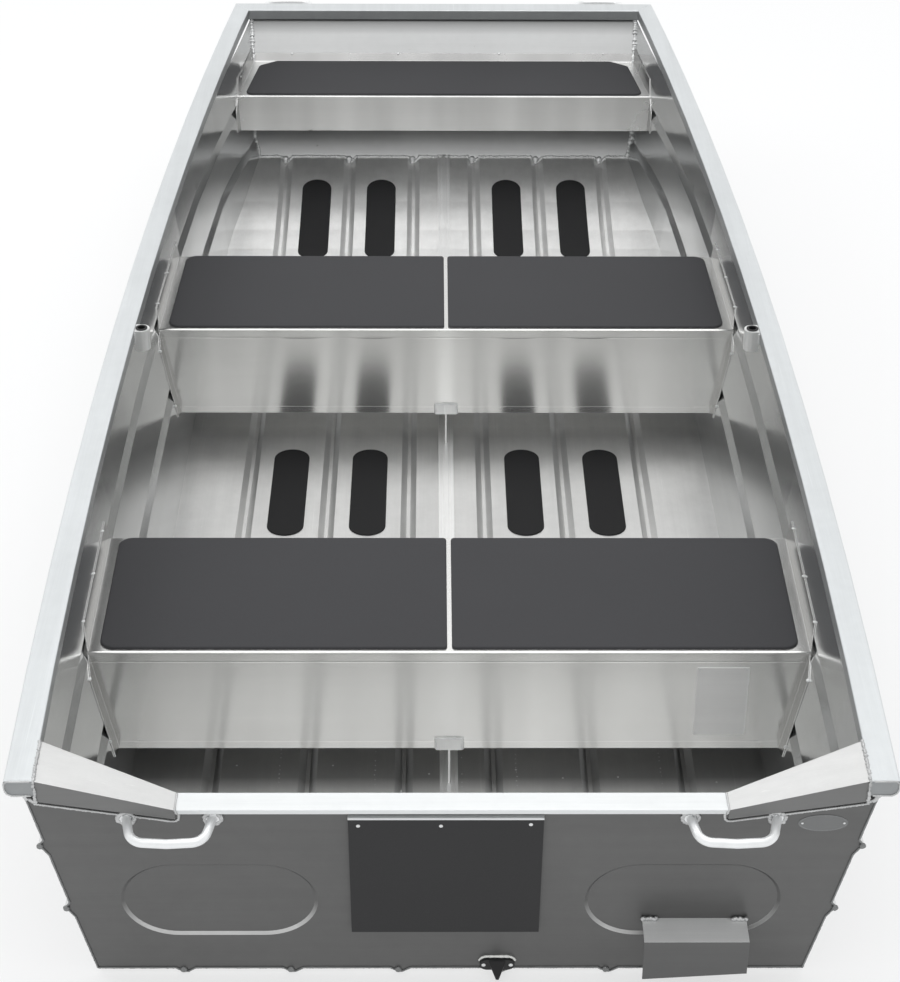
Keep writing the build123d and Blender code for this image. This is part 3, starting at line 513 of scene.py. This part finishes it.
def surface(name):
    """A CAD node's mesh, its corners joined, for finding its faces. The node itself isn't changed."""
    bm = bmesh.new()
    bm.from_mesh(nodes[name].data)
    bmesh.ops.remove_doubles(bm, verts=bm.verts, dist=2e-5)
    return bm


def rims(name, normal, least=0.999):
    """Closed outlines of the faces of a node that look one way, as lists of points, longest first."""
    bm = surface(name)
    normal = normal.normalized()
    chosen = [f for f in bm.faces if f.normal.dot(normal) > least]
    members = set(chosen)
    ahead = {}
    for face in chosen:
        for loop in face.loops:
            if sum(f in members for f in loop.edge.link_faces) == 1:
                ahead.setdefault(loop.vert.index, []).append(loop.link_loop_next.vert)
    by_index = {v.index: v.co.copy() for v in bm.verts}
    nexts = {k: [v.index for v in vs] for k, vs in ahead.items()}
    bm.free()
    loops = []
    while nexts:
        start = next(iter(nexts))
        loop, here = [], start
        while here in nexts:
            loop.append(by_index[here])
            onward = nexts[here].pop()
            if not nexts[here]:
                del nexts[here]
            here = onward
        loops.append(loop)
    return sorted(loops, key=lambda pts: -sum((a - b).length for a, b in zip(pts, pts[1:] + pts[:1])))


def below(loop, top):
    """The stretch of a closed outline below a height that reaches lowest, with its two ends."""
    starts = [i for i in range(len(loop)) if loop[i - 1].z >= top > loop[i].z]
    stretches = []
    for start in starts:
        turned = loop[start - 1:] + loop[:start - 1] if start else loop[-1:] + loop[:-1]
        kept = [turned[0]]
        for point in turned[1:]:
            kept.append(point)
            if point.z >= top:
                break
        stretches.append(kept)
    return min(stretches, key=lambda kept: min(p.z for p in kept))


# Places of the forms that the welds follow, in mm of the boat's own frame
BOTTOM_RIBS = (89, 279, 469)
SIDE_RIBS = (169, 331)
GUSSET_FOOT, GUSSET_FORE, CAP_END = -90, 18, 457
HANDLE_X, HANDLE_Z, HANDLE_SPREAD = 468, 399, 72
ROWLOCK_Y = 1512
BOW_FOOT_TOP = 150
BOW_RAKE = math.radians(29.7)


def near_rib(line, sign, x, reach):
    """The points of a line within reach, in metres, of a bottom rib."""
    return [p for p in line if abs(p.x - sign * x / 1000) < reach]


# ---- Welds round the transom's edge, with a lump at each rib ----
welds = Piece()
transom_rim = rims("transom", TRANSOM_OUT)[0]
edge_line = [p + TRANSOM_OUT * 0.0006 for p in below(transom_rim, at(0, 0, 455).z)]
bead(welds, edge_line, 1.9, 5.0, 11)
for sign in (-1, 1):
    side_points = [p for p in edge_line if p.x * sign > 0.5]
    for height in SIDE_RIBS:
        near = [p for p in side_points if abs(p.z - at(0, 0, height).z) < 0.012]
        blob(welds, max(near, key=lambda p: p.x * sign) + TRANSOM_OUT * 0.001, 6.0, height + sign)
    for x in BOTTOM_RIBS:
        tip = min(near_rib(edge_line, sign, x, 0.012), key=lambda p: p.z)
        blob(welds, tip + TRANSOM_OUT * 0.001, 6.5, x + sign)
welds.make("weld_transom_edge", edge_weld)

# ---- Welds of the handle feet, gussets, rail ends, cap and bracket ----
RAIL_END = ((44, 0.5), (6, 0.5), (0.8, 5), (0.8, 17), (4, 25), (12, 29.4), (44, 29.4))
GUSSET_LOW = ((690, 435), (640, 425), (580, 413.6), (520, 402.2), (480, 394.6),
              (466, 391.4), (458, 391.8), (453.4, 396), (452, 404), (452, 415))
fitting_welds = Piece()
for sign in (-1, 1):
    for spread in (-HANDLE_SPREAD, HANDLE_SPREAD):
        centre = on_transom(sign * HANDLE_X + spread, HANDLE_Z, 1.6)
        ring = [centre + 0.0134 * (math.cos(t) * Vector((1, 0, 0)) + math.sin(t) * TRANSOM_UP)
                for t in (2 * math.pi * k / 36 for k in range(37))]
        rough_weld(fitting_welds, ring, 4.1, 131 + spread + sign, 0.8)
    aft_x, fore_x = (sign * (rail_half(y) - RAIL_WIDTH - 0.2) for y in (GUSSET_FOOT, GUSSET_FORE))
    seams = (
        (at(aft_x, -89, 490.6), at(fore_x, 17, 490.6), 3.3, 41, 0.8),
        (at(aft_x, -91, 489), at(aft_x - sign, -91, 446), 3.4, 43, 0.8),
        (on_transom(sign * 689, 441, 2), on_transom(sign * 700, 452, 2), 4.6, 49, 0.7),
    )
    for start, end, radius, seed, spacing in seams:
        rough_weld(fitting_welds, [start, end], radius, seed + sign, spacing)
    end_x, end_y = rail_half(RAIL_AFT), RAIL_AFT - 2.9
    rail_end = [at(sign * (end_x - inset), end_y, RAIL_TOP_AFT - drop) for inset, drop in RAIL_END]
    bead(fitting_welds, rail_end, 1.7, 4.5, 55 + sign)
    cap_end = [at(sign * (CAP_END - inset), y, z)
               for inset, y, z in ((0, -38.5, 425.4), (0, -84, 425.4), (2, -85, 422), (4, -84, 416))]
    bead(fitting_welds, cap_end, 2.0, 4.4, 45 + sign)
    bead(fitting_welds, [on_transom(sign * x, z, 1.0) for x, z in GUSSET_LOW], 2.7, 5.0, 47 + sign)
for x0, x1 in ((333, 356), (489, 512)):
    rough_weld(fitting_welds, [on_transom(x0, 135.0, 0.4), on_transom(x1, 135.0, 0.4)], 5.0, 51 + x0, 0.7)
fitting_welds.make("weld_transom_fittings", dull_weld)

# ---- Welds inside the bow, at its corners and round the gunwale ----
bow_inward = Vector((0, -math.cos(BOW_RAKE), math.sin(BOW_RAKE)))
bow_welds = Piece()
bow_line = [p + bow_inward * 0.0012 for p in below(rims("bow_plate", bow_inward)[0], at(0, 0, 462).z)]
bead(bow_welds, bow_line, 3.2, 7.0, 61)
corner_z = at(0, 0, BOW_FOOT_TOP).z
for sign in (-1, 1):
    corner = [p for p in bow_line if p.z > corner_z and p.x * sign > 0]
    rough_weld(bow_welds, corner, 7.0, 63 + sign, 0.9)
foot_line = [p for p in bow_line if p.z <= corner_z]
rough_weld(bow_welds, foot_line, 5.0, 65, 1.0)
for sign in (-1, 1):
    for x in BOTTOM_RIBS:
        tip = min(near_rib(foot_line, sign, x, 0.02), key=lambda p: p.z)
        for drop in (0, 4, 8):
            drip = tip + Vector((0, -0.003 - drop * 0.0010, 0.009 - drop * 0.0008))
            blob(bow_welds, drip, 9.5 - drop * 0.5, x + drop)
for sign in (-1, 1):
    inside = at(sign * (rail_half(3560) - RAIL_WIDTH), 3560, rail_top(3560))
    outside = at(sign * rail_half(3620), 3620, rail_top(3620))
    run = outside - inside
    seam = [inside + run * share - Vector((0, 0, 0.0023)) for share in (0.02, 0.5, 0.93)]
    bead(bow_welds, seam, 1.8, 4.0, 71 + sign)
    down = outside - run * 0.035
    bead(bow_welds, [down - Vector((0, 0, drop)) for drop in (0.004, 0.022)], 1.6, 4.0, 73 + sign)
bow_welds.make("weld_bow", weld_metal)


def outer_low_edge(name):
    """Points along the lower outer edge of a side sheet."""
    bm = surface(name)
    rows = {}
    for v in bm.verts:
        y = (v.co.y - SHIFT_Y) * 1000
        if abs((v.co.z - SHIFT_Z) * 1000 - bottom_z(y) - 2) < 1.0:
            key = round(y / 4)
            if key not in rows or abs(v.co.x) > abs(rows[key].x):
                rows[key] = v.co.copy()
    bm.free()
    return [rows[key] for key in sorted(rows)]


# ---- Welds of the chines, props and rowlocks ----
chine_welds = Piece()
for sign, side in ((-1, "port"), (1, "starboard")):
    line = [p + Vector((sign * 0.0008, 0, 0.0006)) for p in outer_low_edge("hull_side_" + side)]
    bead(chine_welds, line, 1.9, 6.0, 81 + sign, sides=6)
chine_welds.make("weld_chines", weld_metal)

prop_welds = Piece()
for name in ("stern_prop", "mid_prop"):
    low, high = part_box(name)
    for sign in (-1, 1):
        clip_side = [Vector((sign * high[0], low[1], low[2] + height)) for height in (0.105, 0.087)]
        rough_weld(prop_welds, clip_side, 2.6, 95 + sign, 0.8)
    clip_top = [Vector((x, low[1], high[2])) for x in (low[0], high[0])]
    rough_weld(prop_welds, clip_top, 2.4, 97, 0.9)
prop_welds.make("weld_props", weld_metal)

rowlock_welds = Piece()
for sign in (-1, 1):
    for off in (-18.6, 18.6):
        y = ROWLOCK_Y + off
        x = sign * (rail_half(y) - RAIL_WIDTH - 0.6)
        top = rail_top(ROWLOCK_Y) - 5
        bead(rowlock_welds, [at(x, y, top), at(x, y, top - 28)], 3.0, 5.0, 91 + sign + int(off))
rowlock_welds.make("weld_rowlocks", weld_metal)

# ---- Rivets: each placed on the CAD face that the photograph shows it on ----
MOST_SHIFT = 24
faces_of = {}


def seen_on(node, u, v):
    """Where the line of sight through a pixel, or the next one inboard, meets a node, and its normal."""
    if node not in faces_of:
        bm = surface(node)
        faces_of[node] = BVHTree.FromBMesh(bm)
        bm.free()
    inboard = 1 if u < FRAME_WIDTH / 2 else -1
    for shift in range(MOST_SHIFT):
        ray = (forward * FOCAL_PX + right * (u + shift * inboard - FRAME_WIDTH / 2)
               + up * (FRAME_HEIGHT / 2 - v))
        place, normal, _, _ = faces_of[node].ray_cast(eye, ray.normalized())
        if place is not None:
            break
    else:
        raise ValueError(f"no face of {node} at {u}, {v}")
    if normal.dot(ray) > 0:
        normal = -normal
    return place, normal


RIVETS = {
    "stern_bench": [(100.4, 530.7), (91.6, 573.3), (80.4, 621.1), (799.3, 528.4), (809.6, 576),
                    (819.6, 621.8), (86.7, 678.9), (107.3, 741.8), (816, 680.4), (794.4, 747.1)],
    "mid_bench": [(176, 245.6), (166.2, 272.7), (157.1, 303.3), (721.1, 249.6), (730.7, 277.1),
                  (739.6, 306.7), (159.6, 351.6), (175.6, 406.2), (736.2, 353.8), (720.4, 406.7)],
    "bow_bench": [(292, 53.6), (398, 53.6), (499, 53.6), (603, 53.6), (240.9, 76.7), (251.5, 58.5),
                  (243, 120)],
    "motor_pad": [(358, 826), (441, 826), (531, 824.5)],
}
for node, pixels in RIVETS.items():
    rivets = Piece()
    for u, v in pixels:
        dome(rivets, *seen_on(node, u, v))
    rivets.make("rivets_" + node, rivet_metal)


# ---- Bare plates ----
def flat_plate(name, outline, centre, across, rise, out, thick, mat):
    """A thin plate with an eased rim, from an outline in mm about its centre."""
    piece = Piece()
    rings = []
    rim = ((0.0, -0.2), (0.0, 0.6 * thick), (0.35, thick), (2.2, thick), (2.6, 0.72 * thick))
    for inset, height in rim:
        ring = []
        for x, z in outline:
            reach = math.hypot(x, z)
            share = (reach - inset) / reach
            ring.append(centre + (x * share * across + z * share * rise + height * out) / 1000)
        rings.append(ring)
    piece.grid(rings, cap_end=True)
    smooth_by_angle(piece.make(name, mat), 25)


def rounded_box(half_x, half_z, radius, steps):
    """Outline of a box with rounded corners, in mm."""
    corners = ((1, 1, 0), (-1, 1, 1), (-1, -1, 2), (1, -1, 3))
    return [(sx * (half_x - radius) + radius * math.cos(math.pi / 2 * (turn + i / steps)),
             sz * (half_z - radius) + radius * math.sin(math.pi / 2 * (turn + i / steps)))
            for sx, sz, turn in corners for i in range(steps + 1)]


X_AXIS, Z_AXIS, AFT = Vector((1, 0, 0)), Vector((0, 0, 1)), Vector((0, -1, 0))
PLATE_X, PLATE_Y, PLATE_Z = 522, 515, 204.5
OVAL_X, OVAL_Z = 618, 385
PLATE_THICK = 0.9
flat_plate("makers_plate_bare", rounded_box(50, 80, 3, 5), at(PLATE_X, PLATE_Y, PLATE_Z), X_AXIS, Z_AXIS, AFT,
           PLATE_THICK, plate_metal)
ellipse = [(41.5 * math.cos(t), 20.5 * math.sin(t)) for t in (2 * math.pi * k / 48 for k in range(48))]
flat_plate("oval_plate_bare", ellipse, on_transom(OVAL_X, OVAL_Z), X_AXIS, TRANSOM_UP, TRANSOM_OUT,
           PLATE_THICK, oval_metal)
plate_rivets = Piece()
for x in (-45, 45):
    for z in (-75, 75):
        dome(plate_rivets, at(PLATE_X + x, PLATE_Y - 0.8, PLATE_Z + z), AFT, 2.6, 1.2)
for x in (-35, 35):
    dome(plate_rivets, on_transom(OVAL_X + x, OVAL_Z, 0.8), TRANSOM_OUT, 2.2, 1.1)
plate_rivets.make("rivets_plates", rivet_metal)

# ---- Bright edging along the top of the motor pad ----
PAD_X, PAD_TOP, EDGING_HALF = -10, 402, 162.8
edging = Piece()
section = rounded_box(4.5, 2.4, 1.1, 4)
rings = []
for x in (-172.9, -172.5, -100, 0, 80, 152.5, 152.9):
    share = 0.9 if abs(x - PAD_X) > EDGING_HALF else 1.0
    rings.append([on_transom(x, PAD_TOP, 4.8 + share * out) + TRANSOM_UP * (2.6 + share * rise) / 1000
                  for out, rise in section])
edging.grid(rings, cap_start=True, cap_end=True)
smooth_by_angle(edging.make("motor_pad_edging", cap_metal), 40)

# ---- Spots of weld showing through the floor under the stern bench: rows, and single ones ----
SPOT_ROWS = ((-335, 13), (-146, 15), (26, 13), (134, 14), (420, 12))
SPOTS = ((-421, 575), (-230, 575), (-94, 495), (-39, 548), (133, 561), (225, 535), (334, 538), (527, 522))
FLOOR_Z = 2.0
spots = Piece()
rng = random.Random(7)
for x, pitch in SPOT_ROWS:
    for k in range(int(190 / pitch)):
        if rng.random() < 0.8:
            place = at(x + rng.uniform(-1, 1), 470 + k * pitch, FLOOR_Z)
            dome(spots, place, Z_AXIS, rng.uniform(0.9, 1.5), 0.5)
for x, y in SPOTS:
    dome(spots, at(x, y, FLOOR_Z), Z_AXIS, 2.0, 0.9)
spots.make("weld_floor_spots", rivet_metal)

# ---- Drain: sealant over its plate and two screws ----
DRAIN_X, DRAIN_Z = 82, 18
drain_seal = Piece()
arc = [on_transom(DRAIN_X + 17 * side + 15.5 * math.cos(t), DRAIN_Z + 15.5 * math.sin(t), 1.2)
       for side, turns in ((1, range(1, 10)), (-1, range(9, 18)))
       for t in (math.pi * k / 18 for k in turns)]
bead(drain_seal, arc, 2.4, 9.0, 101)
drain_seal.make("drain_sealant", sealant)
drain_screws = Piece()
for x in (-24, 24):
    dome(drain_screws, on_transom(DRAIN_X + x, DRAIN_Z, 7.8), TRANSOM_OUT, 4.0, 1.8)
drain_screws.make("drain_screws", rivet_metal)


# ---- Pads and grip strips: sheets of foam and rubber with eased edges, over the CAD solids ----
STRIP_THICK = 0.0029
WAVE_SCALE, WAVE_HEIGHT = 9, 0.00012


def eased(count):
    """Shares from 0 to 1, closer together at both ends."""
    return [0.5 - 0.5 * math.cos(math.pi * i / count) for i in range(count + 1)]


def edge_gap(x, y, sides):
    """Distance of a point from the nearest side of an outline, seen from above."""
    gaps = []
    for a, b in sides:
        run_x, run_y = b.x - a.x, b.y - a.y
        share = ((x - a.x) * run_x + (y - a.y) * run_y) / max(run_x**2 + run_y**2, 1e-12)
        share = max(0.0, min(1.0, share))
        gaps.append((Vector((x, y)) - Vector((a.x, a.y)) - share * Vector((run_x, run_y))).length)
    return min(gaps)


def border(rows):
    """The outer points of a grid, once round."""
    aft_to_fore = rows[0] + [row[-1] for row in rows[1:]]
    return aft_to_fore + rows[-1][-2::-1] + [row[0] for row in rows[-2:0:-1]]


def soft_sheets(name, mat, rows, columns, ease):
    """Sheets in the place of a node's solids: rolled edges, a faintly uneven top, closed below."""
    low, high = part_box(name)
    bm = surface(name)
    tree = BVHTree.FromBMesh(bm)
    bm.free()
    piece = Piece()
    for loop in rims(name, Z_AXIS, 0.9):
        sides = list(zip(loop, loop[1:] + loop[:1]))
        y0, y1 = min(p.y for p in loop), max(p.y for p in loop)
        thick = STRIP_THICK if "strip" in name else high[2] - low[2]
        top_rows, low_rows = [], []
        for row_share in eased(rows):
            y = y0 + (y1 - y0) * min(max(row_share, 0.0004), 0.9996)
            hits = [a.x + (y - a.y) / (b.y - a.y) * (b.x - a.x) for a, b in sides
                    if (a.y - y) * (b.y - y) < 0]
            x0, x1 = min(hits), max(hits)
            mid_x, mid_y = (x0 + x1) / 2, (y0 + y1) / 2
            top_row, low_row = [], []
            for column_share in eased(columns):
                x = x0 + (x1 - x0) * column_share
                gap = edge_gap(x, y, sides)
                above = Vector((x + (mid_x - x) * 0.004, y + (mid_y - y) * 0.004, high[2] + 0.1))
                hit = tree.ray_cast(above, -Z_AXIS)[0]
                top = hit.z if hit else high[2]
                drop = ease - math.sqrt(max(0.0, ease**2 - max(0.0, ease - gap) ** 2))
                unevenness = noise.noise(Vector((x * WAVE_SCALE, y * WAVE_SCALE, 3.1)))
                wave = WAVE_HEIGHT * unevenness * min(1.0, gap / 0.02)
                top_row.append(Vector((x, y, top - drop - 0.00015 + wave)))
                low_row.append(Vector((x, y, top - thick + 0.0001)))
            top_rows.append(top_row)
            low_rows.append(low_row)
        piece.grid(top_rows, closed=False)
        piece.grid(low_rows, closed=False)
        piece.grid([border(low_rows), border(top_rows)])
    obj = piece.make(name + "_sheet", mat)
    bm = bmesh.new()
    bm.from_mesh(obj.data)
    bmesh.ops.remove_doubles(bm, verts=bm.verts, dist=1e-6)
    bmesh.ops.recalc_face_normals(bm, faces=bm.faces)
    bm.to_mesh(obj.data)
    bm.free()
    smooth_by_angle(obj, 50)
    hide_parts(name)


for name in ("stern_pad_port", "stern_pad_starboard", "mid_pad_port", "mid_pad_starboard", "bow_pad"):
    soft_sheets(name, pad_foam, 44, 64, 0.0028)
for name in ("floor_strips_mid", "floor_strips_front"):
    soft_sheets(name, strip_rubber, 60, 16, 0.0012)

# ---- Floor, world and lamps ----
FLOOR_HALF = 40
corners = [(x * FLOOR_HALF, y * FLOOR_HALF, 0) for x, y in ((-1, -1), (1, -1), (1, 1), (-1, 1))]
floor_mesh = bpy.data.meshes.new("studio_floor")
floor_mesh.from_pydata(corners, [], [(0, 1, 2, 3)])
floor = bpy.data.objects.new("studio_floor", floor_mesh)
bpy.context.scene.collection.objects.link(floor)


def seen_rays(tree):
    """1 for camera, glossy and transmission rays."""
    path = tree.nodes.new("ShaderNodeLightPath")
    socket = path.outputs["Is Camera Ray"]
    for other in ("Is Glossy Ray", "Is Transmission Ray"):
        node = tree.nodes.new("ShaderNodeMath")
        node.operation = "MAXIMUM"
        tree.links.new(socket, node.inputs[0])
        tree.links.new(path.outputs[other], node.inputs[1])
        socket = node.outputs[0]
    return socket


def mixed(tree, share, first, second, output):
    """The output node takes the first shader, and the second by a share."""
    mix = tree.nodes.new("ShaderNodeMixShader")
    tree.links.new(share, mix.inputs[0])
    tree.links.new(first.outputs[0], mix.inputs[1])
    tree.links.new(second.outputs[0], mix.inputs[2])
    tree.links.new(mix.outputs[0], tree.nodes[output].inputs["Surface"])


floor_mat = bpy.data.materials.new("studio_floor")
floor_mat.use_nodes = True
tree = floor_mat.node_tree
paper = tree.nodes["Principled BSDF"]
paper.inputs["Base Color"].default_value = (0.86, 0.86, 0.86, 1)
paper.inputs["Roughness"].default_value = 0.9
white = tree.nodes.new("ShaderNodeEmission")
white.inputs["Strength"].default_value = 1.0
part = tree.nodes.new("ShaderNodeMath")
part.operation = "MULTIPLY"
part.inputs[1].default_value = 0.62
tree.links.new(seen_rays(tree), part.inputs[0])
mixed(tree, part.outputs[0], paper, white, "Material Output")
floor_mesh.materials.append(floor_mat)

world = bpy.data.worlds.new("studio")
world.use_nodes = True
bpy.context.scene.world = world
tree = world.node_tree
soft = tree.nodes["Background"]
soft.inputs["Color"].default_value = (0.97, 0.985, 1.0, 1)
soft.inputs["Strength"].default_value = 0.92
backdrop = tree.nodes.new("ShaderNodeBackground")
backdrop.inputs["Color"].default_value = (1, 1, 1, 1)
# White for the camera, a little less in the metal
whiteness = tree.nodes.new("ShaderNodeMapRange")
whiteness.inputs["To Min"].default_value = 0.8
whiteness.inputs["To Max"].default_value = 1.0
tree.links.new(tree.nodes.new("ShaderNodeLightPath").outputs["Is Camera Ray"], whiteness.inputs["Value"])
tree.links.new(whiteness.outputs[0], backdrop.inputs["Strength"])
mixed(tree, seen_rays(tree), soft, backdrop, "World Output")


def lamp(name, place, aim, width, height, power):
    """A soft box, in metres and watts."""
    data = bpy.data.lights.new(name, "AREA")
    data.shape = "RECTANGLE"
    data.size = width
    data.size_y = height
    data.energy = power
    obj = bpy.data.objects.new(name, data)
    bpy.context.scene.collection.objects.link(obj)
    obj.location = place
    obj.rotation_euler = (Vector(aim) - Vector(place)).to_track_quat("-Z", "Y").to_euler()


lamp("soft_box_bow", (0.4, 1.9, 5.8), (0, 0.9, 0.2), 5.0, 3.0, 84)
lamp("soft_box_aft", (0, -3.4, 6.4), (0, -0.6, 0.2), 5.0, 3.0, 40)
lamp("soft_box_side", (-4.5, 0.5, 4.0), (0, 0, 0.2), 3.0, 3.0, 42)

bpy.context.scene.view_settings.view_transform = "Standard"
